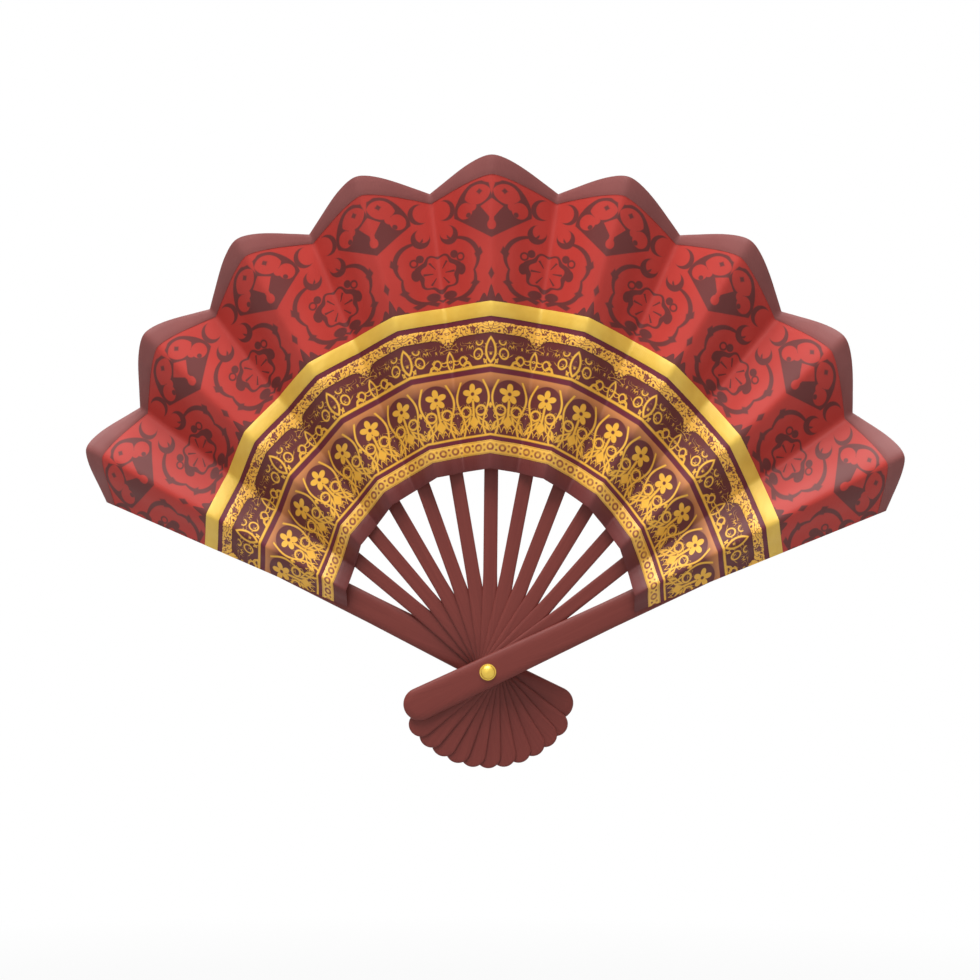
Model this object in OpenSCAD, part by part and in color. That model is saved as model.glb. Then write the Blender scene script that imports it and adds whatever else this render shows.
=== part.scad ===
// Folding hand fan, open, standing upright with its rivet at the origin.
// The front faces -Y, and the middle of the leaf points along +Z.

/* [Spread] */
// Angle from the middle of the fan to each guard, degrees
guard_angle = 64; // [50:1:70]
// Angle from each guard to the rib beside it, degrees
guard_to_rib = 12.8; // [9:0.2:14]

/* [Sticks] */
// Thickness of a rib
rib_t = 1.0; // [0.8:0.1:1.6]
// Thickness of a guard
guard_t = 2.8; // [2:0.1:4]
// Play between neighbouring sticks along the rivet
stick_play = 0.1; // [0.05:0.01:0.2]
// Width of a rib where it shows above the rivet
rib_w = 5.3; // [4:0.1:7]
// Width of a rib's tail
rib_tail_w = 9.4; // [8.4:0.1:11]
// Width of a rib's tip behind the leaf
rib_tip_w = 3.2; // [2.4:0.1:4]
// Distance from the rivet at which a guard has narrowed to its shank
guard_neck_l = 50; // [20:1:70]
// Width of a guard at its tail
guard_tail_w = 12.4; // [10.6:0.1:15]
// Width of a guard's shank and tip
guard_tip_w = 10.2; // [8:0.1:12]
// Distance from the rivet to the end of a rib's tail
rib_tail_l = 37; // [30:0.5:45]
// Distance from the rivet to the end of a guard's tail
guard_tail_l = 34.7; // [29:0.5:43]
// Distance from a guard's tip to the leaf's rim
guard_tip_gap = 8.6; // [6:0.1:30]
// Distance from a rib's tip to the leaf's rim
rib_tip_gap = 14; // [8:1:40]

/* [Rivet] */
// Diameter of the rivet pin
pin_d = 4.0; // [2.5:0.1:5]
// Radial play between the pin and the sticks
pin_play = 0.05; // [0.02:0.01:0.1]
// Diameter of the domed head
head_d = 5.5; // [5.2:0.1:6]
// Height of the domed head
head_h = 1.7; // [1:0.1:2.5]
// Diameter of both washers
washer_d = 6.2; // [6.0:0.1:8.2]
// Thickness of both washers
washer_t = 0.5; // [0.3:0.1:0.8]

/* [Leaf] */
// Distance from the rivet to the rim at the middle peak
rim_s = 193; // [160:1:235]
// Distance from the rivet to the inner edge at the middle
hem_s = 76.5; // [65:0.5:90]
// Number of raised folds
peak_count = 9; // [5:2:13]
// Angle by which each end of the leaf passes its guard, degrees
leaf_overhang = 3.2; // [1:0.1:5]
// Angle from the last raised fold to the end of the leaf, degrees
end_panel = 5.6; // [4:0.1:8]
// Angle from each guard over which the leaf keeps that guard's level, degrees
level_run = 4; // [3:0.5:8]
// Depth of a fold as a share of the distance from the rivet
fold_depth = 0.085; // [0.04:0.005:0.11]
// Drop of the rim from a peak to a valley
rim_scallop = 10.3; // [4:0.1:14]
// Thickness of the leaf
leaf_t = 0.35; // [0.2:0.05:0.6]
// Gap between the back of the leaf and the guards
leaf_gap = 0.3; // [0.2:0.05:0.6]
// Radius of the inner edge's own arc
hem_arc_r = 55.4; // [50:0.1:60]
// Rise of an arc's centre for each millimetre of its radius
arc_drift = 0.104; // [0:0.002:0.14]

/* [Trims] */
// Width of the rim binding at a peak
rim_binding_w = 7.2; // [5:0.1:10]
// Width of the rim binding at a valley
rim_binding_valley_w = 3.8; // [3:0.1:6]
// Outer edge of the wide gold braid at the middle
gold_braid_s = 139; // [125:1:150]
// Width of the wide gold braid
gold_braid_w = 5.6; // [4:0.1:8]
// Outer edge of the gold lace at the middle
gold_lace_s = 131.5; // [115:0.5:132]
// Width of the gold lace
gold_lace_w = 4.1; // [3:0.1:6]
// Width of the inner gold braid
inner_braid_w = 5.1; // [4:0.1:7]
// Width of the binding along the inner edge
hem_binding_w = 5.7; // [4:0.1:8]
// Thickness of every trim
trim_t = 0.4; // [0.2:0.05:0.6]
// Glue line between the leaf and a trim
trim_gap = 0.05; // [0.02:0.01:0.1]

/* [Hidden] */
$fn = 64;

// Number of thin ribs between the guards, as many as NODES names
rib_count = 11;

WOOD = [0.40, 0.17, 0.15];
BRASS = [0.83, 0.72, 0.36];
RED = [0.66, 0.16, 0.13];
GOLD = [0.80, 0.64, 0.22];
MAROON = [0.45, 0.24, 0.23];

rib_pitch = (2 * guard_angle - 2 * guard_to_rib) / (rib_count - 1);
stack_d = 2 * guard_t + rib_count * rib_t + (rib_count + 1) * stick_play;
front_y = -stack_d / 2;
rear_guard_y = stack_d / 2 - guard_t;
bore_d = pin_d + 2 * pin_play;
washer_play = 0.1;
rear_pocket_t = washer_t + washer_play;
head_base_y = front_y - stick_play - washer_t;

// The leaf lies in front of every stick, so its back slopes from one guard to the other.
back_left_y = rear_guard_y - leaf_gap;
back_right_y = front_y - leaf_gap;
slope_angle = guard_angle - level_run;
fold_steps = 4;
leaf_angle = guard_angle + leaf_overhang;
outer_peak = leaf_angle - end_panel;
peak_pitch = 2 * outer_peak / (peak_count - 1);
hem_arc_rise = hem_s - hem_arc_r;

// Angles of every fold line and both ends, from left to right
fold_angles = [
    -leaf_angle,
    for (i = [0 : 2 * peak_count - 2]) -outer_peak + i * peak_pitch / 2,
    leaf_angle
];

// The same, with each panel cut into equal steps so that the scallops come out round
leaf_angles = [
    for (i = [0 : len(fold_angles) - 2], k = [0 : fold_steps - 1])
        fold_angles[i] + (fold_angles[i + 1] - fold_angles[i]) * k / fold_steps,
    leaf_angle
];

// How far up its fold an angle is: 0 in a valley and at both ends, 1 on a peak
function fold_height(a) =
    abs(a) > outer_peak
        ? 1 - (abs(a) - outer_peak) / (leaf_angle - outer_peak)
        : abs((a + outer_peak) / peak_pitch % 1 - 0.5) * 2;

// Radius of the arc that crosses the middle at s, and its distance from the rivet at an angle
function arc_radius(s) = (s - hem_arc_rise + arc_drift * hem_arc_r) / (1 + arc_drift);
function arc_rise(s) = s - arc_radius(s);
function arc_reach(s, a) =
    arc_rise(s) * cos(a) + sqrt(pow(arc_radius(s), 2) - pow(arc_rise(s) * sin(a), 2));

// The scalloped rim, round at the peaks and sharp in the valleys
function scallop(s, drop, a) = s - drop * (1 - sin(90 * fold_height(a)));

// Back of the leaf at an angle and a distance from the rivet
function slope_share(a) = min(max(a / slope_angle, -1), 1);
function leaf_back_y(r, a) =
    (back_left_y + back_right_y) / 2 + slope_share(a) * (back_right_y - back_left_y) / 2
        - fold_depth * r * fold_height(a);

function leaf_point(s, a, forward) =
    let (r = arc_reach(s, a)) [r * sin(a), leaf_back_y(r, a) - forward, r * cos(a)];

// A stick's outline with its rivet at the origin and its tip up. The shank keeps its width
// from the neck to the leaf's inner edge.
module stick_outline(tail_l, tail_w, neck_w, neck_z, tip_w, tip_z) {
    translate([0, -tail_l + tail_w / 2]) circle(d = tail_w);
    translate([0, tip_z - tip_w / 2]) circle(d = tip_w);
    polygon([
        [-tail_w / 2, -tail_l + tail_w / 2],
        [tail_w / 2, -tail_l + tail_w / 2],
        [neck_w / 2, neck_z],
        [neck_w / 2, hem_s],
        [tip_w / 2, tip_z - tip_w / 2],
        [-tip_w / 2, tip_z - tip_w / 2],
        [-neck_w / 2, hem_s],
        [-neck_w / 2, neck_z]
    ]);
}

// A flat stick of thickness t whose front is at y, turned to its angle, with its rivet bore
module stick(angle, y, t) {
    rotate([0, angle, 0]) translate([0, y + t, 0]) rotate([90, 0, 0]) linear_extrude(t) difference() {
        children();
        circle(d = bore_d);
    }
}

// The tip of a stick at an angle stays a set distance below the valleys of the rim
function tip_reach(angle, gap) = arc_reach(rim_s - rim_scallop, angle) - gap;

module guard_outline() {
    tip_z = tip_reach(guard_angle, guard_tip_gap);
    stick_outline(guard_tail_l, guard_tail_w, guard_tip_w, guard_neck_l, guard_tip_w, tip_z);
}

// Rib k counts from the rear guard
module rib(k) {
    angle = -guard_angle + guard_to_rib + (k - 1) * rib_pitch;
    y = rear_guard_y - k * (rib_t + stick_play);
    color(WOOD) stick(angle, y, rib_t)
        stick_outline(rib_tail_l, rib_tail_w, rib_w, rib_tail_l, rib_tip_w, tip_reach(angle, rib_tip_gap));
}

module rear_guard() {
    color(WOOD) difference() {
        stick(-guard_angle, rear_guard_y, guard_t) guard_outline();
        translate([0, stack_d / 2 - rear_pocket_t, 0]) rotate([-90, 0, 0])
            cylinder(d = washer_d + 2 * washer_play, h = 2 * rear_pocket_t);
    }
}

module front_guard() {
    color(WOOD) stick(guard_angle, front_y, guard_t) guard_outline();
}

module washer(y) {
    translate([0, y + washer_t, 0]) rotate([90, 0, 0]) linear_extrude(washer_t) difference() {
        circle(d = washer_d);
        circle(d = bore_d);
    }
}

module front_washer() { color(BRASS) washer(head_base_y); }

module rear_washer() { color(BRASS) washer(stack_d / 2 - rear_pocket_t); }

// The pin and its domed head, turned about the rivet's axis
module rivet() {
    dome_r = (pow(head_d / 2, 2) + pow(head_h, 2)) / (2 * head_h);
    pin_l = stack_d / 2 - head_base_y;
    color(BRASS) translate([0, head_base_y, 0]) rotate([90, 0, 0]) {
        translate([0, 0, -pin_l]) cylinder(d = pin_d, h = pin_l);
        intersection() {
            translate([0, 0, head_h - dome_r]) sphere(r = dome_r);
            cylinder(d = head_d, h = head_h + 1);
        }
    }
}

// A closed pleated strip between two arcs, from near to far in front of the leaf's back
module pleated_strip(s_in, s_out, near, far, drop_in = 0, drop_out = 0) {
    n = len(leaf_angles);
    points = [
        for (forward = [near, far], edge = [0, 1], a = leaf_angles)
            leaf_point(edge == 0 ? scallop(s_in, drop_in, a) : scallop(s_out, drop_out, a), a, forward)
    ];
    // Corner of the grid: layer 0 is the back, edge 0 the inner edge
    function at(layer, edge, i) = (layer * 2 + edge) * n + i;
    faces = [
        for (i = [0 : n - 2]) each [
            [at(1, 0, i), at(1, 1, i), at(1, 1, i + 1), at(1, 0, i + 1)],
            [at(0, 0, i), at(0, 0, i + 1), at(0, 1, i + 1), at(0, 1, i)],
            [at(0, 1, i), at(0, 1, i + 1), at(1, 1, i + 1), at(1, 1, i)],
            [at(0, 0, i), at(1, 0, i), at(1, 0, i + 1), at(0, 0, i + 1)]
        ],
        [at(0, 0, 0), at(0, 1, 0), at(1, 1, 0), at(1, 0, 0)],
        [at(0, 0, n - 1), at(1, 0, n - 1), at(1, 1, n - 1), at(0, 1, n - 1)]
    ];
    polyhedron(points, [
        for (f = faces) each [[f[0], f[1], f[2]], [f[0], f[2], f[3]]]
    ]);
}

module trim(s_in, s_out, drop_in = 0, drop_out = 0) {
    near = leaf_t + trim_gap;
    pleated_strip(s_in, s_out, near, near + trim_t, drop_in, drop_out);
}

module leaf() { color(RED) pleated_strip(hem_s, rim_s, 0, leaf_t, 0, rim_scallop); }

module rim_binding() {
    inner_drop = rim_scallop - rim_binding_w + rim_binding_valley_w;
    color(MAROON) trim(rim_s - rim_binding_w, rim_s, inner_drop, rim_scallop);
}

module gold_braid() { color(GOLD) trim(gold_braid_s - gold_braid_w, gold_braid_s); }

module gold_lace() { color(GOLD) trim(gold_lace_s - gold_lace_w, gold_lace_s); }

module inner_braid() {
    color(GOLD) trim(hem_s + hem_binding_w + trim_gap, hem_s + hem_binding_w + inner_braid_w);
}

module hem_binding() { color(MAROON) trim(hem_s, hem_s + hem_binding_w); }

rear_guard();
rib(1);  // rib_01
rib(2);  // rib_02
rib(3);  // rib_03
rib(4);  // rib_04
rib(5);  // rib_05
rib(6);  // rib_06
rib(7);  // rib_07
rib(8);  // rib_08
rib(9);  // rib_09
rib(10);  // rib_10
rib(11);  // rib_11
front_guard();
rivet();
front_washer();
rear_washer();
leaf();
rim_binding();
gold_braid();
gold_lace();
inner_braid();
hem_binding();
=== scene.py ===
"""Folding hand fan: lacquered sticks on a brass rivet, and one pleated satin leaf with its trims."""

import bmesh
import bpy
import numpy as np
from mathutils import Matrix, Vector


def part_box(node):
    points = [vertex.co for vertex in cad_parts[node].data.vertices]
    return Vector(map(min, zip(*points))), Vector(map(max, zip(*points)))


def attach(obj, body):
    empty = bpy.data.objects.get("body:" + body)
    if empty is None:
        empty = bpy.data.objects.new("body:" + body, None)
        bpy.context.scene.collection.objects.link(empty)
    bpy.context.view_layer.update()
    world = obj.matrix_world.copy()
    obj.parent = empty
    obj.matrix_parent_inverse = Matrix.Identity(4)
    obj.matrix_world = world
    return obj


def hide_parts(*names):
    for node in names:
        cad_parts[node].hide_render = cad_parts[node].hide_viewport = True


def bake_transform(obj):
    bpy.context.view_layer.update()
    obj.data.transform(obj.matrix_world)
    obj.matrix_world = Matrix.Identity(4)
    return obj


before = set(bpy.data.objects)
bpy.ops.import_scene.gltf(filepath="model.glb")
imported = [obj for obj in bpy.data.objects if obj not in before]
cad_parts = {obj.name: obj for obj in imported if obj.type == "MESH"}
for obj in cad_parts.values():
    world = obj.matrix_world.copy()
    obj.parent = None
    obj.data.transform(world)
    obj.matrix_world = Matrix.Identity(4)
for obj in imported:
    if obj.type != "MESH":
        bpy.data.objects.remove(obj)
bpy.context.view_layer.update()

MM = 0.001

# Spread of the fan, in degrees from the middle
GUARD_ANGLE = 64.0
GUARD_TO_RIB = 12.8
RIB_COUNT = 11
LEAF_OVERHANG = 3.2
END_PANEL = 5.6
LEVEL_RUN = 4.0
PEAK_COUNT = 9
LEAF_ANGLE = GUARD_ANGLE + LEAF_OVERHANG
OUTER_PEAK = LEAF_ANGLE - END_PANEL
PEAK_PITCH = 2 * OUTER_PEAK / (PEAK_COUNT - 1)
PITCH_RAD = np.radians(PEAK_PITCH)

# The leaf, in millimetres. A size named _S is a distance from the rivet along the fan's middle.
RIM_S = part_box("leaf")[1][2] / MM
HEM_S = 76.5
HEM_ARC_R = 55.4
ARC_DRIFT = 0.104
RIM_SCALLOP = 10.3
FOLD_DEPTH = 0.085
LEAF_T = 0.35
LEAF_GAP = 0.3
LEFT_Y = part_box("rear_guard")[0][1] / MM - LEAF_GAP
RIGHT_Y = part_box("front_guard")[0][1] / MM - LEAF_GAP
PANEL_CROWN = 0.3
PANEL_DIP = 0.7
PEAK_SOFTNESS = 0.07
VALLEY_SOFTNESS = 0.03
RIPPLE = 0.12

# Trims, in millimetres
RIM_BINDING_W = 7.2
RIM_BINDING_VALLEY_W = 3.8
GOLD_BRAID_S = 139.0
GOLD_BRAID_W = 5.6
GOLD_LACE_S = 131.5
GOLD_LACE_W = 4.1
LACE_TASSEL = 3.2
HEM_BINDING_W = 5.7
INNER_BRAID_W = 5.1
TRIM_T = 0.4
TRIM_GAP = 0.05

# Printed bands below the braid: the middle and half width of each, in millimetres
PALMETTE_BAND = (101.0, 11.6)
FILIGREE_BAND = (121.2, 5.9)

# Sticks, in millimetres
RIB_W, RIB_TAIL_W, RIB_TIP_W, RIB_TAIL_L, RIB_TIP_GAP = 5.3, 9.4, 3.2, 37.0, 14.0
GUARD_TAIL_W, GUARD_TIP_W, GUARD_TAIL_L, GUARD_NECK_L, GUARD_TIP_GAP = 12.4, 10.2, 34.7, 50.0, 8.6
BORE_R, PIN_R = 2.05, 2.0
# How far in from its edges a stick is rounded, and how deep
RIB_EDGE, GUARD_EDGE = (1.3, 0.45), (3.1, 1.25)

# Studio, in metres
FLOOR_Z = -0.26
FLOOR_SIZE = 12.0
CAMERA_DISTANCE = 1.03
WORLD_LEVEL = 0.12


def srgb(r, g, b):
    """Linear colour from one written as 0 to 255."""
    share = np.array([r, g, b]) / 255
    linear = np.where(share <= 0.04045, share / 12.92, ((share + 0.055) / 1.055) ** 2.4)
    return (*map(float, linear), 1.0)


RED = srgb(172, 52, 44)
DEEP_RED = srgb(152, 40, 33)
DARK_MOTIF = srgb(92, 38, 36)
GROUND = srgb(88, 36, 36)
PURPLE = srgb(92, 26, 42)
TAN = srgb(204, 134, 76)
GOLD = srgb(220, 156, 48)
BRAID_GOLD = srgb(208, 166, 66)
MAUVE = srgb(126, 70, 67)
HEM = srgb(98, 40, 38)
WOOD = srgb(114, 50, 43)
WOOD_DARK = srgb(94, 37, 32)
BRASS = srgb(232, 200, 92)


# ---------------------------------------------------------------- shader maths


class Value:
    """A number socket that adds a Math node for each operator."""

    def __init__(self, maker, socket):
        self.maker, self.socket = maker, socket

    def math(self, operation, *others, clamp=False):
        return self.maker.math(operation, self, *others, clamp=clamp)

    def __add__(self, other):
        return self.math("ADD", other)

    __radd__ = __add__

    def __sub__(self, other):
        return self.math("SUBTRACT", other)

    def __rsub__(self, other):
        return self.maker.math("SUBTRACT", other, self)

    def __mul__(self, other):
        return self.math("MULTIPLY", other)

    __rmul__ = __mul__

    def __truediv__(self, other):
        return self.math("DIVIDE", other)

    def __abs__(self):
        return self.math("ABSOLUTE")

    def least(self, other):
        return self.math("MINIMUM", other)

    def most(self, other):
        return self.math("MAXIMUM", other)

    def sin(self):
        return self.math("SINE")

    def fill(self, soft=0.35):
        """1 where this distance is negative, 0 where it is positive, with a soft edge."""
        return self.math("MULTIPLY_ADD", -1 / soft, 0.5, clamp=True)

    def stroke(self, width, soft=0.35):
        """1 along the line where this distance is zero."""
        return (abs(self) - width / 2).fill(soft)


class Maker:
    """Makes one material's nodes."""

    def __init__(self, name):
        self.material = bpy.data.materials.new(name)
        self.material.use_nodes = True
        self.tree = self.material.node_tree
        self.shader = self.tree.nodes["Principled BSDF"]

    def node(self, kind, settings=None, inputs=None, out=0):
        made = self.tree.nodes.new(kind)
        for key, value in (settings or {}).items():
            setattr(made, key, value)
        for key, value in (inputs or {}).items():
            self.feed(made.inputs[key], value)
        return Value(self, made.outputs[out])

    def feed(self, socket, value):
        if isinstance(value, Value):
            self.tree.links.new(value.socket, socket)
        else:
            socket.default_value = value

    def math(self, operation, *values, clamp=False):
        settings = {"operation": operation, "use_clamp": clamp}
        return self.node("ShaderNodeMath", settings, dict(enumerate(values)))

    def vector(self, x, y, z=0.0):
        return self.node("ShaderNodeCombineXYZ", None, {0: x, 1: y, 2: z})

    def distance(self, point, x, y, stretch=None):
        """Distance from a point to (x, y), in a space stretched along x where asked."""
        centre = (x, y, 0.0)
        if stretch:
            scaled = {0: point, 1: (stretch, 1.0, 1.0)}
            point = self.node("ShaderNodeVectorMath", {"operation": "MULTIPLY"}, scaled)
            centre = (x * stretch, y, 0.0)
        return self.node("ShaderNodeVectorMath", {"operation": "DISTANCE"}, {0: point, 1: centre}, out=1)

    def mix(self, factor, a, b):
        settings = {"data_type": "RGBA", "clamp_factor": True}
        return self.node("ShaderNodeMix", settings, {0: factor, 6: a, 7: b}, out=2)

    def noise(self, vector, scale, detail=2.0, distortion=0.0):
        inputs = {"Vector": vector, "Scale": scale, "Detail": detail, "Distortion": distortion}
        return self.node("ShaderNodeTexNoise", None, inputs)

    def bump(self, height, distance_mm, strength=1.0):
        inputs = {"Height": height, "Distance": distance_mm * MM, "Strength": strength}
        return self.node("ShaderNodeBump", None, inputs)

    def finish(self, color, roughness, normal=None, metallic=None, **constants):
        self.feed(self.shader.inputs["Base Color"], color)
        self.feed(self.shader.inputs["Roughness"], roughness)
        if normal is not None:
            self.feed(self.shader.inputs["Normal"], normal)
        if metallic is not None:
            self.feed(self.shader.inputs["Metallic"], metallic)
        for name, value in constants.items():
            self.shader.inputs[name.replace("_", " ")].default_value = value
        return self.material


def leaf_place(m):
    """The leaf's own map: folds counted from the middle, and millimetres from the rivet."""
    uv = m.node("ShaderNodeUVMap", {"uv_map": "FanMap"})
    split = m.tree.nodes.new("ShaderNodeSeparateXYZ")
    m.tree.links.new(uv.socket, split.inputs[0])
    return Value(m, split.outputs[0]), Value(m, split.outputs[1])


def from_fold(m, folds, s, offset=0.0):
    """Millimetres across the leaf from the nearest fold, as a distance from it."""
    shifted = folds + offset
    return abs(shifted - shifted.math("ROUND")) * s * PITCH_RAD


def in_band(s, band):
    """1 within a printed band."""
    middle, half_width = band
    return (abs(s - middle) - half_width).fill()


def woven(m, folds, s, thread=0.55):
    """Height of a fine satin weave."""
    along = (s * (2 * np.pi / thread)).sin()
    across = (folds * s * (PITCH_RAD * 2 * np.pi / thread)).sin()
    return along * 0.5 + across * 0.5


def diamond(x, s, centre_x, centre_s, half_x, half_s, lean=0.0):
    """Distance-like value of a diamond, leaning outward towards the rim."""
    across = x - centre_x - (s - centre_s) * lean
    return (abs(across) / half_x + abs(s - centre_s) / half_s - 1) * (half_x * half_s / (half_x + half_s))


def shield(m, at_peak, x, s):
    """The dark shield below each peak, point inward, with red curls and leaves cut out."""
    tip, slope = 162.5, 1.62
    sides = (x - (s - tip) * slope) / float(np.hypot(1, slope))
    shoulder = m.distance(at_peak, 0, 170.5) - 15.2
    flank = m.distance(at_peak, 4.0, 173.2) - 10.8
    body = sides.most(shoulder).most(flank.least(s - 170))
    fish = (m.distance(at_peak, 5.05, 177.2) - 5.5).most(m.distance(at_peak, 5.85, 180.9) - 5.5)
    eye = diamond(x, s, 4.8, 180.1, 1.2, 1.1)
    curl = (m.distance(at_peak, 10.4, 173.6) - 3.0).most(0.95 - m.distance(at_peak, 9.0, 171.9))
    hook = m.distance(at_peak, 7.4, 174.8) - 1.5
    drop = m.distance(at_peak, 0, 167.4, stretch=1.15) - 1.9
    funnel = (x - 1.1 - (s - 170.5) * 0.8).most(x * 0.58 + s - 177)
    neck = funnel.least((x - 0.9).most(abs(s - 170) - 1.5))
    dome = (m.distance(at_peak, 0, 189.4) - 6.6).least(diamond(x, s, 0, 184.0, 1.5, 5.5))
    cut = fish.most(eye * -1).least(curl).least(hook).least(drop).least(neck).least(dome)
    return body.fill() * (1 - cut.fill())


def medallion(m, at_valley, x, s):
    """A cusped blossom outline in each valley, with a flower inside and curls above."""
    centre, flower = 154.0, 152.4
    angle = m.math("ARCTAN2", s - centre, x)
    lobes = abs((angle * 2.5 + 0.45).sin())
    outline = m.distance(at_valley, 0, centre, stretch=0.82) - 11.6 - lobes * 2.3
    ring = (abs(outline) - lobes * 0.45 - 0.35).fill()
    open_top = 1 - (x - 4.6).most(162 - s).fill()
    thorn = diamond(x, s, 13.6, 146.6, 1.9, 1.5).least(diamond(x, s, 16.2, 157.4, 1.7, 2.4, lean=0.4))
    petals = m.math("ARCTAN2", s - flower, x)
    bloom = m.distance(at_valley, 0, flower, stretch=0.86)
    wavy = bloom - 6.5 - (petals * 7).sin() * 0.6
    heart = (abs(wavy) - 0.75 - (petals * 3 + 1.0).sin() * 0.35).fill()
    veins = (abs((petals * 3.5).sin()) - 0.26).most(bloom - 5.2).most(2.0 - bloom)
    sepals = m.distance(at_valley, 8.7, 152.6, stretch=1.25) - 2.2
    sepals = sepals.least(m.distance(at_valley, 6.6, 158.6) - 1.5)
    eyelet = m.distance(at_valley, 9.0, 157.2) - 1.3
    hook = (m.distance(at_valley, 5.5, 166.0) - 3.6).most(2.7 - m.distance(at_valley, 4.6, 167.3))
    moon = (m.distance(at_valley, 5.2, 175.4) - 3.9).most(3.5 - m.distance(at_valley, 3.7, 175.6))
    sprig = (m.distance(at_valley, 3.2, 143.6, stretch=0.6) - 1.6).least(thorn)
    marks = heart.most(veins.fill(0.2)).most(sepals.fill()).most(eyelet.stroke(0.7)).most(hook.fill())
    return marks.most(moon.fill()).most(ring * open_top).most(sprig.fill())


def crown(m, peak_x, valley_x, s):
    """Small dark spikes that stand on the gold braid."""
    spikes = abs((peak_x + 1.57).sin()) * 0.65 + 0.35
    at_peak = s - GOLD_BRAID_S - (6.2 - peak_x) * spikes
    left = diamond(valley_x, s, 3.4, 141.2, 2.4, 1.3, lean=1.0)
    right = diamond(valley_x, s, 8.6, 141.0, 2.6, 1.4, lean=-0.8)
    bead = diamond(peak_x, s, 0, 149.3, 1.2, 2.3)
    return at_peak.fill().most(left.least(right).fill()).most(bead.fill())


def scrolls(m, point, thickness, scale=0.25):
    """Thin curling lines drawn through a flowing field."""
    flow = m.noise(point, scale, detail=0.0, distortion=1.1)
    return (abs(flow - 0.5) - thickness).fill(0.03)


def filigree(m, at_peak, at_valley, flat, s):
    """Gold scrollwork with pointed leaf outlines, on the dark band."""
    leaf_c, leaf_r = -4.98, 6.78
    tall = (m.distance(at_peak, leaf_c, 120.8) - leaf_r).stroke(0.75)
    short = (m.distance(at_valley, leaf_c, 118.4) - leaf_r + 0.6).stroke(0.6)
    eyes = (m.distance(at_peak, 4.9, 119.9, stretch=1.2) - 1.9).stroke(0.65)
    eyes = eyes.most((m.distance(at_valley, 5.0, 118.0, stretch=1.2) - 1.6).stroke(0.6))
    hooks = (m.distance(at_peak, 4.4, 124.4) - 1.2).stroke(0.5) * (s - 124.6).fill()
    curls = scrolls(m, flat, 0.026) * (s - 119.8).fill(1.0)
    sparks = scrolls(m, flat, 0.012, 0.4) * (abs(s - 123.5) - 1.6).fill(0.8)
    return tall.most(short).most(eyes).most(hooks).most(curls).most(sparks)


def palmettes(m, at_quarter, across, flat, s):
    """Gold palmettes in dark arches. Returns the arches and the gold."""
    angle = m.math("ARCTAN2", s - 105.2, across)
    flower = m.distance(at_quarter, 0, 105.2) - 1.5 - abs((angle * 2.5 + 0.785).sin()) * 2.4
    core = 0.7 - m.distance(at_quarter, 0, 105.2)
    arch = (m.distance(at_quarter, 0, 105.0, stretch=0.95) - 5.5).least(s - 102.5)
    stem = (across - 0.45).most(s - 103).most(96 - s)
    cups = (m.distance(at_quarter, 2.9, 98.8) - 1.8).stroke(0.75)
    lattice = (across - 4.9 - ((s - 98.5) * 0.3).sin() * 1.4).stroke(0.75) * (s - 110.2).fill()
    bud = diamond(across, s, 0, 94.6, 2.0, 2.6).fill()
    leaves = diamond(across, s, 3.4, 94.0, 1.3, 2.6, lean=-0.7).stroke(0.6)
    feet = (s - 90.6 - abs((across * 1.5).sin()) * 2.2).stroke(0.7)
    gold = flower.most(core).fill().most(stem.fill()).most(cups)
    gold = gold.most(lattice).most(bud).most(leaves).most(feet)
    gold = gold.most(scrolls(m, flat, 0.02, 0.3) * (s - 101.5).fill(1.0))
    return arch.fill(), gold


def printed_satin():
    """The leaf's face: a red field above, and bands of gold scrollwork on maroon below."""
    m = Maker("printed_satin")
    folds, s = leaf_place(m)
    peak_x, valley_x = from_fold(m, folds, s), from_fold(m, folds, s, 0.5)
    quarter_x = abs(peak_x - s * (PITCH_RAD / 4))
    at_peak, at_valley = m.vector(peak_x, s), m.vector(valley_x, s)
    at_quarter = m.vector(quarter_x, s)
    flat = m.vector(folds * (PITCH_RAD * 105), s)
    mirrored = m.vector(peak_x, s)
    cloudy = m.noise(flat, 0.05, detail=3.0)

    red = m.mix(cloudy, DEEP_RED, RED)
    dark = shield(m, at_peak, peak_x, s).most(medallion(m, at_valley, valley_x, s))
    dark = dark.most(crown(m, peak_x, valley_x, s))
    field = m.mix(dark, red, DARK_MOTIF)

    arches, palm_gold = palmettes(m, at_quarter, quarter_x, mirrored, s)
    warm = (110.5 - s).fill(8.0)
    palm_ground = m.mix(warm * (1 - arches), GROUND, TAN)
    palm_band = in_band(s, PALMETTE_BAND)
    filigree_gold = filigree(m, at_peak, at_valley, mirrored, s) * in_band(s, FILIGREE_BAND)
    lines = (s - 115.1).stroke(1.0).most((s - 89.3).stroke(0.8))
    purple = (s - 113.3).stroke(1.7).most((s - 88.2).stroke(1.6)).most((s - 132.5).stroke(2.4))
    gold = filigree_gold.most(palm_gold * palm_band).most(lines)
    lower = m.mix(palm_band, GROUND, palm_ground)
    lower = m.mix(purple, lower, PURPLE)
    worn = m.noise(flat, 0.9, detail=2.0)
    lower = m.mix(gold, lower, m.mix(worn, GOLD, BRAID_GOLD))

    upper = (GOLD_BRAID_S - 3 - s).fill()
    color = m.mix(upper, lower, field)
    raised = gold * (1 - upper)
    height = woven(m, folds, s) * 0.25 + raised
    normal = m.bump(height, 0.05, 0.6)
    roughness = 0.43 + cloudy * 0.06 - raised * 0.05
    return m.finish(color, roughness, normal, metallic=raised * 0.1, Specular_IOR_Level=0.3)


def leaf_lining():
    """The leaf's plain back."""
    m = Maker("leaf_lining")
    folds, s = leaf_place(m)
    across = folds * (PITCH_RAD * 120)
    flat = m.vector(across, s)
    slub = m.noise(m.vector(across, s * 0.08), 1.3, detail=3.0)
    color = m.mix(slub, srgb(96, 30, 28), srgb(128, 44, 40))
    height = woven(m, folds, s) * 0.4 + m.noise(flat, 0.2)
    return m.finish(color, 0.55 + slub * 0.1, m.bump(height, 0.06, 0.6))


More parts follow.
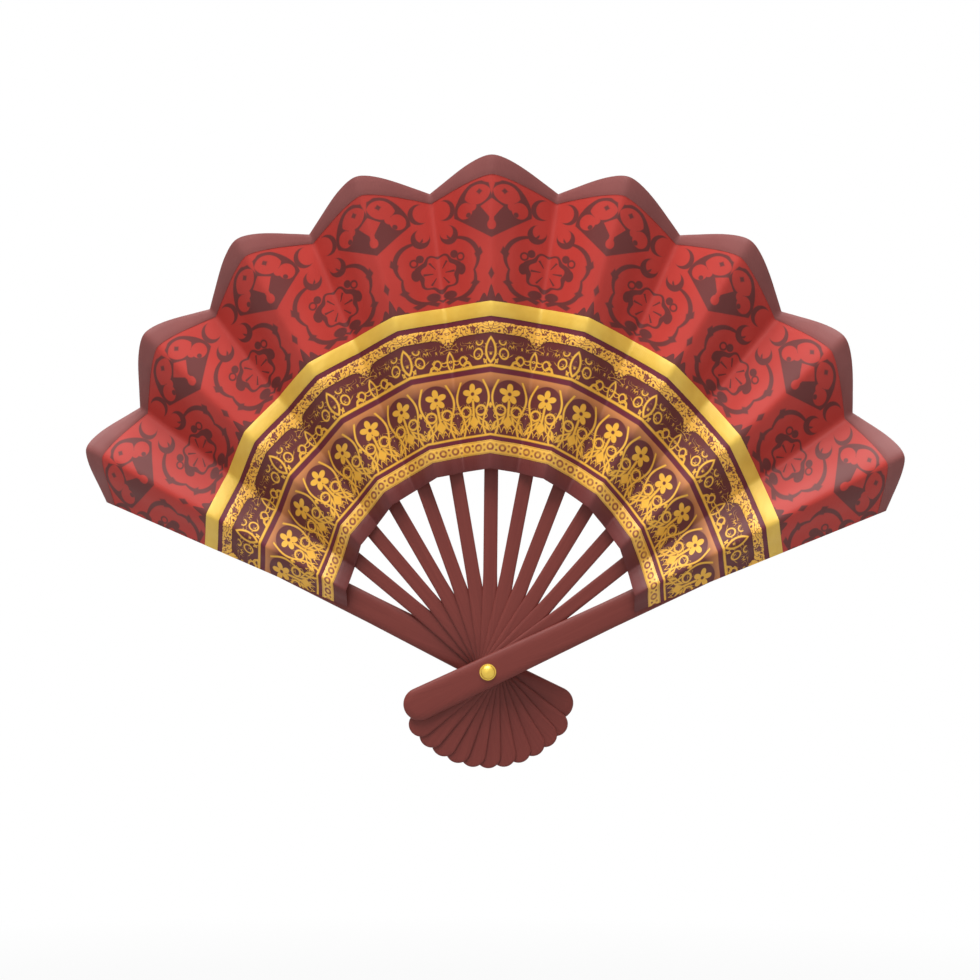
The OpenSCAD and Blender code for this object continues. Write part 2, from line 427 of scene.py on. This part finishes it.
def satin_binding(name, pale, deep):
    """Ribbed ribbon along an edge."""
    m = Maker(name)
    folds, s = leaf_place(m)
    flat = m.vector(folds * (PITCH_RAD * 140), s)
    cloudy = m.noise(flat, 0.12, detail=3.0)
    ribs = (folds * s * (PITCH_RAD * 2 * np.pi / 0.7)).sin()
    normal = m.bump(ribs * 0.4 + cloudy, 0.05, 0.5)
    return m.finish(m.mix(cloudy, deep, pale), 0.44 + cloudy * 0.08, normal, Specular_IOR_Level=0.3)


def metallic_braid():
    """Flat gold braid of close diagonal threads."""
    m = Maker("metallic_braid")
    folds, s = leaf_place(m)
    x = folds * s * PITCH_RAD
    plait = ((x + s) * (2 * np.pi / 0.9)).sin() * ((x - s) * (2 * np.pi / 0.9)).sin()
    worn = m.noise(m.vector(x, s), 0.25, detail=3.0)
    color = m.mix(worn, srgb(202, 160, 52), srgb(216, 180, 76))
    return m.finish(color, 0.36 + worn * 0.08, m.bump(plait, 0.05, 0.6), metallic=worn * 0.1 + 0.05)


def gold_lacework():
    """Narrow lace: gold thread with dark openings."""
    m = Maker("gold_lacework")
    folds, s = leaf_place(m)
    point = m.vector(from_fold(m, folds, s, 0.5), s)
    worms = scrolls(m, point, 0.045, 0.42)
    loops = m.node("ShaderNodeTexVoronoi", None, {"Vector": point, "Scale": 0.62})
    eyelets = (loops - 0.3).fill(0.1)
    edge = (s - GOLD_LACE_S + 0.5).stroke(0.3)
    dark = worms.most(eyelets) * (1 - edge)
    color = m.mix(dark, srgb(222, 168, 66), srgb(104, 44, 40))
    thread = 1 - dark
    return m.finish(color, 0.45, m.bump(thread, 0.12, 0.8), metallic=thread * 0.1, Specular_IOR_Level=0.4)


def marked_braid():
    """Inner braid: gold with a row of small dark rings and dots."""
    m = Maker("marked_braid")
    folds, s = leaf_place(m)
    middle = HEM_S + HEM_BINDING_W + INNER_BRAID_W / 2
    repeats = 5.0
    cell = PITCH_RAD * middle / repeats
    x = folds * repeats
    along = abs(x - x.math("ROUND")) * cell
    point = m.vector(along, s)
    rings = (m.distance(point, 0, middle) - 1.05).stroke(0.75)
    dots = (m.distance(point, cell / 2, middle + 1.0) - 0.45).fill()
    dots = dots.most((m.distance(point, cell / 2, middle - 1.0) - 0.45).fill())
    edges = (abs(s - middle) - INNER_BRAID_W / 2 + 0.35).stroke(0.25)
    worn = m.noise(m.vector(x, s), 0.8, detail=2.0)
    marks = rings.most(dots) * (worn * 1.8).least(1)
    color = m.mix(worn, srgb(206, 148, 46), srgb(222, 180, 76))
    color = m.mix(marks.most(edges * 0.6), color, srgb(120, 48, 34))
    return m.finish(color, 0.38 + marks * 0.1, m.bump(1 - marks, 0.06, 0.7), metallic=(1 - marks) * 0.1)


def lacquered_wood():
    """Dark red lacquer over straight grain that runs out from the rivet."""
    m = Maker("lacquered_wood")
    place = m.node("ShaderNodeTexCoord", None, None, out=3)
    split = m.tree.nodes.new("ShaderNodeSeparateXYZ")
    m.tree.links.new(place.socket, split.inputs[0])
    x, y, z = (Value(m, out) for out in split.outputs)
    reach = (x * x + z * z).math("SQRT")
    turn = m.math("ARCTAN2", x, z)
    grain_place = m.vector(turn * 26, reach * 16, y * 700)
    grain = m.noise(grain_place, 1.6, detail=4.0)
    polish = m.noise(place, 60.0, detail=2.0)
    color = m.mix(grain, WOOD_DARK, WOOD)
    return m.finish(color, 0.38 + polish * 0.12, m.bump(grain, 0.05, 0.5), Specular_IOR_Level=0.25)


def polished_brass():
    m = Maker("polished_brass")
    place = m.node("ShaderNodeTexCoord", None, None, out=3)
    tarnish = m.noise(place, 900.0, detail=3.0)
    color = m.mix(tarnish, BRASS, srgb(206, 166, 60))
    return m.finish(color, 0.26 + tarnish * 0.12, m.bump(tarnish, 0.02, 0.4), metallic=0.75)


# ---------------------------------------------------------------- leaf and trims


def fold_share(a):
    """How far an angle is from its nearest peak: 0 on the peak, 1 in the valley or at the leaf's end."""
    past = np.abs(a) - OUTER_PEAK
    inner = np.abs(a / PEAK_PITCH - np.round(a / PEAK_PITCH)) * 2
    return np.where(past > 0, past / END_PANEL, inner)


def soft_fold(t):
    """Height of a fold with its crease rounded: 1 on the peak, 0 in the valley."""
    peak = 1 - np.sqrt(t**2 + PEAK_SOFTNESS**2) + PEAK_SOFTNESS
    valley = np.sqrt((1 - t) ** 2 + VALLEY_SOFTNESS**2) - VALLEY_SOFTNESS
    share = np.clip((t - 0.3) / 0.4, 0, 1)
    share = share * share * (3 - 2 * share)
    return peak * (1 - share) + valley * share


def scallop(t):
    """The rim's drop from a peak: rounded at the peak, nearly straight, sharp in the valley."""
    soft = 0.17
    straight = (np.sqrt(t**2 + soft**2) - soft) / (np.sqrt(1 + soft**2) - soft)
    return 0.85 * straight + 0.15 * (1 - np.cos(t * np.pi / 2))


def arc_reach(s, a):
    """Distance from the rivet, at an angle, of the arc that crosses the middle at s."""
    radius = (s - (HEM_S - HEM_ARC_R) + ARC_DRIFT * HEM_ARC_R) / (1 + ARC_DRIFT)
    rise = s - radius
    a = np.radians(a)
    return rise * np.cos(a) + np.sqrt(radius**2 - (rise * np.sin(a)) ** 2)


def leaf_points(s, a, forward):
    """Places on the leaf in metres, a distance forward of its back."""
    t = fold_share(a)
    reach = arc_reach(s, a) - PANEL_DIP * (1 - (1 - t) ** 3) * np.clip((RIM_S - s) / RIM_BINDING_W, 0, 1)
    slope = np.clip(a / (GUARD_ANGLE - LEVEL_RUN), -1, 1)
    level = (LEFT_Y + RIGHT_Y) / 2 + slope * (RIGHT_Y - LEFT_Y) / 2
    crown_y = PANEL_CROWN * 4 * t * (1 - t) * reach / RIM_S
    ripple = RIPPLE * np.sin(s * 0.11 + a * 0.9) * np.sin(s * 0.05 - a * 0.37) * t * (1 - t) * 4
    y = level - FOLD_DEPTH * reach * soft_fold(t) - crown_y - ripple - forward
    a = np.radians(a)
    return np.stack([reach * np.sin(a), y, reach * np.cos(a)], -1) * MM


def leaf_angles(steps, end=LEAF_ANGLE):
    """Angles across the leaf, closer together at the folds."""
    folds = np.concatenate([[-end], np.arange(-OUTER_PEAK, OUTER_PEAK + 0.01, PEAK_PITCH / 2), [end]])
    ease = np.linspace(0, 1, steps + 1)[:-1]
    ease = ease - 0.06 * np.sin(ease * 2 * np.pi)
    inner = [low + (high - low) * ease for low, high in zip(folds[:-1], folds[1:])]
    return np.concatenate([*inner, [end]])


def pleated_sheet(name, inner, outer, near, far, rows, materials, steps=12, bulge=0.0, end=LEAF_ANGLE):
    """A closed pleated strip between two edges, each a function of the angle that gives an s."""
    a = leaf_angles(steps, end)
    share = np.linspace(0, 1, rows + 1)[:, None]
    s = inner(a) * (1 - share) + outer(a) * share
    angles = np.broadcast_to(a, s.shape)
    crowned = far - bulge * (2 * share - 1) ** 4 * np.ones_like(s)
    front, back = leaf_points(s, angles, crowned), leaf_points(s, angles, near)
    count_s, count_a = s.shape
    half = count_s * count_a

    def at(side, j, i):
        return side * half + j * count_a + i

    faces, slots = [], []
    for j in range(count_s - 1):
        for i in range(count_a - 1):
            faces.append((at(0, j, i), at(0, j, i + 1), at(0, j + 1, i + 1), at(0, j + 1, i)))
            faces.append((at(1, j, i), at(1, j + 1, i), at(1, j + 1, i + 1), at(1, j, i + 1)))
            slots += [0, len(materials) - 1]
    for i in range(count_a - 1):
        top = count_s - 1
        faces.append((at(0, 0, i), at(1, 0, i), at(1, 0, i + 1), at(0, 0, i + 1)))
        faces.append((at(0, top, i), at(0, top, i + 1), at(1, top, i + 1), at(1, top, i)))
        slots += [0, 0]
    for j in range(count_s - 1):
        last = count_a - 1
        faces.append((at(0, j, 0), at(0, j + 1, 0), at(1, j + 1, 0), at(1, j, 0)))
        faces.append((at(0, j, last), at(1, j, last), at(1, j + 1, last), at(0, j + 1, last)))
        slots += [0, 0]

    mesh = bpy.data.meshes.new(name)
    mesh.from_pydata(np.concatenate([front.reshape(-1, 3), back.reshape(-1, 3)]).tolist(), [], faces)
    for material in materials:
        mesh.materials.append(material)
    mesh.polygons.foreach_set("material_index", slots)
    mesh.polygons.foreach_set("use_smooth", [True] * len(faces))
    place = np.stack([angles / PEAK_PITCH, s], -1).reshape(-1, 2)
    place = np.concatenate([place, place])
    corners = np.empty(len(mesh.loops), np.int32)
    mesh.loops.foreach_get("vertex_index", corners)
    mesh.uv_layers.new(name="FanMap").data.foreach_set("uv", place[corners].astype(np.float32).ravel())
    mesh.set_sharp_from_angle(angle=np.radians(50))
    piece = bpy.data.objects.new(name, mesh)
    bpy.context.collection.objects.link(piece)
    return piece


def fold_with_guards(piece):
    """Bakes the piece's transform into its mesh and reads back its points; the cloth is not turned with the
    guards.
    """
    reach = RIM_S * MM
    angles = np.radians([-GUARD_ANGLE, GUARD_ANGLE])
    ends = [(reach * np.sin(a), 0, reach * np.cos(a)) for a in angles]
    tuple(ends[0])
    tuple(ends[1])
    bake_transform(piece)
    places = np.empty(len(piece.data.vertices) * 3)
    piece.data.vertices.foreach_get("co", places)


def constant(s):
    return lambda a: np.full_like(a, s)


def leaf_and_trims():
    mauve = satin_binding("mauve_binding", MAUVE, srgb(112, 58, 56))
    maroon = satin_binding("maroon_binding", HEM, srgb(84, 34, 32))
    near = LEAF_T + TRIM_GAP
    far = near + TRIM_T
    inner_drop = RIM_SCALLOP - RIM_BINDING_W + RIM_BINDING_VALLEY_W

    def rim(a):
        return RIM_S - RIM_SCALLOP * scallop(fold_share(a))

    def below_rim(a):
        return RIM_S - RIM_BINDING_W - inner_drop * scallop(fold_share(a))

    def lace_edge(a):
        tassel = np.exp(-(((1 - fold_share(a)) / 0.16) ** 2))
        frayed = 0.5 * np.sin(a * 19) * tassel
        return GOLD_LACE_S - GOLD_LACE_W - LACE_TASSEL * tassel + frayed

    leaf = pleated_sheet(
        "pleated_leaf", constant(HEM_S), rim, 0, LEAF_T, 40, [printed_satin(), leaf_lining()], steps=16
    )
    trims = {
        "rim_binding": (below_rim, rim, mauve),
        "gold_braid": (constant(GOLD_BRAID_S - GOLD_BRAID_W), constant(GOLD_BRAID_S), metallic_braid()),
        "gold_lace": (lace_edge, constant(GOLD_LACE_S), gold_lacework()),
        "inner_braid": (
            constant(HEM_S + HEM_BINDING_W + TRIM_GAP),
            constant(HEM_S + HEM_BINDING_W + INNER_BRAID_W),
            marked_braid(),
        ),
        "hem_binding": (constant(HEM_S), constant(HEM_S + HEM_BINDING_W), maroon),
    }
    made = []
    for node, (inner, outer, material) in trims.items():
        steps = 40 if node == "gold_lace" else 16
        piece = pleated_sheet(
            f"{node}_cloth", inner, outer, near, far, 6, [material], steps, bulge=TRIM_T * 0.7
        )
        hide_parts(node)
        made.append(piece)
    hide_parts("leaf")
    for piece in [leaf, *made]:
        fold_with_guards(piece)
    leaf_flat_area()


def leaf_flat_area():
    """Area of the leaf before it was pleated, in square metres, from its panels between fold lines."""
    a = leaf_angles(8)
    s_rim = RIM_S - RIM_SCALLOP * scallop(fold_share(a))
    rim, hem = leaf_points(s_rim, a, 0), leaf_points(np.full_like(a, HEM_S), a, 0)

    def triangles(p, q, r):
        return np.linalg.norm(np.cross(q - p, r - p), axis=-1).sum() / 2

    return float(triangles(hem[:-1], rim[:-1], rim[1:]) + triangles(hem[:-1], rim[1:], hem[1:]))


# ---------------------------------------------------------------- sticks and rivet


def stick_outline(tail_l, tail_w, neck_w, neck_z, tip_w, tip_z, arc_steps=20):
    """Outline of a stick, counter-clockwise from the tail, in millimetres."""
    tail = np.radians(np.linspace(180, 360, arc_steps))
    tip = np.radians(np.linspace(0, 180, arc_steps))
    tail_points = np.stack([np.cos(tail), np.sin(tail)], -1) * tail_w / 2 + [0, tail_w / 2 - tail_l]
    tip_points = np.stack([np.cos(tip), np.sin(tip)], -1) * tip_w / 2 + [0, tip_z - tip_w / 2]
    right, left = [[neck_w / 2, neck_z], [neck_w / 2, HEM_S]], [[-neck_w / 2, HEM_S], [-neck_w / 2, neck_z]]
    return np.concatenate([tail_points, right, tip_points, left])


def inset(outline, amount):
    """The outline moved inward by an amount."""
    before, after = np.roll(outline, 1, 0), np.roll(outline, -1, 0)

    def normal(v):
        v = np.stack([v[:, 1], -v[:, 0]], -1)
        return v / np.maximum(np.linalg.norm(v, axis=1, keepdims=True), 1e-9)

    lean = normal(outline - before) + normal(after - outline)
    length = np.maximum((lean**2).sum(1, keepdims=True) / 2, 0.5)
    return outline - lean / length * amount


def rounded_plate(name, outline, angle, low_y, high_y, edge, material):
    """A flat stick with rounded edges and its rivet bore, turned to its angle."""
    across, deep = edge
    quarter = np.radians(np.linspace(90, 0, 9))
    rings = [(across * (1 - np.cos(q)), low_y + deep * (1 - np.sin(q))) for q in quarter]
    rings += [(e, high_y + low_y - y) for e, y in reversed(rings)]
    bm = bmesh.new()
    loops = [[bm.verts.new((x, y, z)) for x, z in inset(outline, e)] for e, y in rings]
    around = np.linspace(0, 2 * np.pi, 33)[:-1]
    bores = [
        [bm.verts.new((BORE_R * np.cos(q), y, BORE_R * np.sin(q))) for q in around] for y in (low_y, high_y)
    ]

    def band(low, high):
        for i in range(len(low)):
            j = (i + 1) % len(low)
            bm.faces.new((low[i], low[j], high[j], high[i]))

    for low, high in zip(loops[:-1], loops[1:]):
        band(low, high)
    band(bores[1], bores[0])
    for loop, bore in ((loops[0], bores[0]), (loops[-1], bores[1])):
        edges = {bm.edges.get((ring[i], ring[i - 1])) for ring in (loop, bore) for i in range(len(ring))}
        bmesh.ops.triangle_fill(bm, use_beauty=True, use_dissolve=False, edges=list(edges))
    bmesh.ops.recalc_face_normals(bm, faces=bm.faces)
    bm.transform(Matrix.Diagonal((MM, MM, MM, 1)))
    bm.transform(Matrix.Rotation(np.radians(angle), 4, "Y"))
    return finished(name, bm, material)


def finished(name, bm, material, sharp=40):
    mesh = bpy.data.meshes.new(name)
    bm.to_mesh(mesh)
    bm.free()
    mesh.materials.append(material)
    mesh.polygons.foreach_set("use_smooth", [True] * len(mesh.polygons))
    mesh.set_sharp_from_angle(angle=np.radians(sharp))
    piece = bpy.data.objects.new(name, mesh)
    bpy.context.collection.objects.link(piece)
    return piece


def stick(node, angle, outline, edge, material):
    low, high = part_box(node)
    piece = rounded_plate(f"{node}_stick", outline, angle, low[1] / MM, high[1] / MM, edge, material)
    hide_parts(node)
    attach(piece, node)


def sticks():
    wood = lacquered_wood()

    def tip(angle, gap):
        return float(arc_reach(RIM_S - RIM_SCALLOP, angle)) - gap

    for node, angle in (("rear_guard", -GUARD_ANGLE), ("front_guard", GUARD_ANGLE)):
        tip_z = tip(angle, GUARD_TIP_GAP)
        outline = stick_outline(GUARD_TAIL_L, GUARD_TAIL_W, GUARD_TIP_W, GUARD_NECK_L, GUARD_TIP_W, tip_z)
        stick(node, angle, outline, GUARD_EDGE, wood)
    pitch = 2 * (GUARD_ANGLE - GUARD_TO_RIB) / (RIB_COUNT - 1)
    for k in range(RIB_COUNT):
        angle = -GUARD_ANGLE + GUARD_TO_RIB + k * pitch
        outline = stick_outline(RIB_TAIL_L, RIB_TAIL_W, RIB_W, RIB_TAIL_L, RIB_TIP_W, tip(angle, RIB_TIP_GAP))
        stick(f"rib_{k + 1:02d}", angle, outline, RIB_EDGE, wood)


def rivet_and_washers():
    brass = polished_brass()
    low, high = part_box("rivet")
    head_r = (high[0] - low[0]) / 2
    head_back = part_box("front_washer")[0][1]
    profile = [(0.0, low[1])]
    for q in np.radians(np.linspace(8, 84, 12)):
        profile.append((head_r * np.sin(q), head_back - (head_back - low[1]) * np.cos(q)))
    pin_r = PIN_R * MM
    profile += [(head_r, head_back), (pin_r, head_back), (pin_r, high[1]), (0.0, high[1])]
    bm = bmesh.new()
    points = [bm.verts.new((r, y, 0)) for r, y in profile]
    edges = [bm.edges.new(pair) for pair in zip(points[:-1], points[1:])]
    turned = {"cent": (0, 0, 0), "axis": (0, 1, 0), "angle": 2 * np.pi, "steps": 48}
    bmesh.ops.spin(bm, geom=points + edges, use_duplicate=False, **turned)
    bmesh.ops.remove_doubles(bm, verts=bm.verts, dist=1e-6)
    bmesh.ops.recalc_face_normals(bm, faces=bm.faces)
    head = finished("rivet_head_and_pin", bm, brass, sharp=50)
    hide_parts("rivet")
    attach(head, "rear_guard")
    for node in ("front_washer", "rear_washer"):
        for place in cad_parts[node].material_slots:
            place.material = brass


# ---------------------------------------------------------------- floor, light, camera


def pale_floor():
    m = Maker("pale_floor")
    rays = m.tree.nodes.new("ShaderNodeLightPath")
    seen = Value(m, rays.outputs["Is Camera Ray"]).most(Value(m, rays.outputs["Is Glossy Ray"]))
    seen = seen.most(Value(m, rays.outputs["Is Transmission Ray"]))
    place = m.node("ShaderNodeTexCoord", None, None, out=3)
    mottle = m.noise(place, 2.0)
    from_fan = m.node("ShaderNodeVectorMath", {"operation": "LENGTH"}, {0: place}, out=1)
    far = (0.85 - from_fan).fill(0.5)
    m.finish(m.mix(mottle, (0.53, 0.53, 0.53, 1), (0.58, 0.58, 0.58, 1)), 0.9)
    glow = m.node("ShaderNodeEmission", None, {"Color": (1, 1, 1, 1), "Strength": 1.0})
    lit = Value(m, m.shader.outputs[0])
    both = m.node("ShaderNodeMixShader", None, {0: seen * (far * 0.25 + 0.75), 1: lit, 2: glow})
    m.tree.links.new(both.socket, m.tree.nodes["Material Output"].inputs["Surface"])
    return m.material


def studio():
    bm = bmesh.new()
    bmesh.ops.create_grid(bm, x_segments=2, y_segments=2, size=FLOOR_SIZE)
    bmesh.ops.translate(bm, verts=bm.verts, vec=(0, 0, FLOOR_Z))
    floor = finished("floor", bm, pale_floor())

    world = bpy.data.worlds.new("studio")
    world.use_nodes = True
    bpy.context.scene.world = world
    tree = world.node_tree
    rays = tree.nodes.new("ShaderNodeLightPath")
    seen = None
    for ray in ("Is Camera Ray", "Is Glossy Ray", "Is Transmission Ray"):
        either = tree.nodes.new("ShaderNodeMath")
        either.operation = "MAXIMUM"
        tree.links.new(rays.outputs[ray], either.inputs[0])
        if seen:
            tree.links.new(seen.outputs[0], either.inputs[1])
        seen = either
    level = tree.nodes.new("ShaderNodeMapRange")
    level.inputs["To Min"].default_value = WORLD_LEVEL
    level.inputs["To Max"].default_value = 1.0
    tree.links.new(seen.outputs[0], level.inputs["Value"])
    tree.links.new(level.outputs[0], tree.nodes["Background"].inputs["Strength"])
    tree.nodes["Background"].inputs["Color"].default_value = (1, 1, 1, 1)

    softbox("key", (-0.15, -0.5, 1.15), 1.1, 25.0)
    softbox("fill", (-0.5, -1.4, 0.4), 0.9, 1.2)
    softbox("rim", (0.2, 0.9, 0.9), 0.8, 3.0)


def softbox(name, place, size, power):
    light = bpy.data.lights.new(name, "AREA")
    light.shape, light.size, light.energy = "DISK", size, power
    lamp = bpy.data.objects.new(name, light)
    lamp.location = place
    aim = Vector((0, 0, 0.08)) - Vector(place)
    lamp.rotation_euler = aim.to_track_quat("-Z", "Y").to_euler()
    bpy.context.collection.objects.link(lamp)


def camera():
    """Level with the leaf, a little to the front guard's side, so that side reads larger."""
    target = Vector((-0.0004, 0, 0.0683))
    azimuth, roll = np.radians(3.0), np.radians(0.6)
    lens = bpy.data.cameras.new("camera")
    lens.lens, lens.sensor_width = 100.0, 36.0
    eye = bpy.data.objects.new("camera", lens)
    toward = Vector((np.sin(azimuth), -np.cos(azimuth), 0))
    eye.location = target + toward * CAMERA_DISTANCE
    turn = (-toward).to_track_quat("-Z", "Y").to_matrix().to_4x4()
    eye.rotation_euler = (turn @ Matrix.Rotation(roll, 4, "Z")).to_euler()
    bpy.context.collection.objects.link(eye)
    bpy.context.scene.camera = eye
    bpy.context.scene.view_settings.view_transform = "Standard"


camera()
leaf_and_trims()
sticks()
rivet_and_washers()
studio()
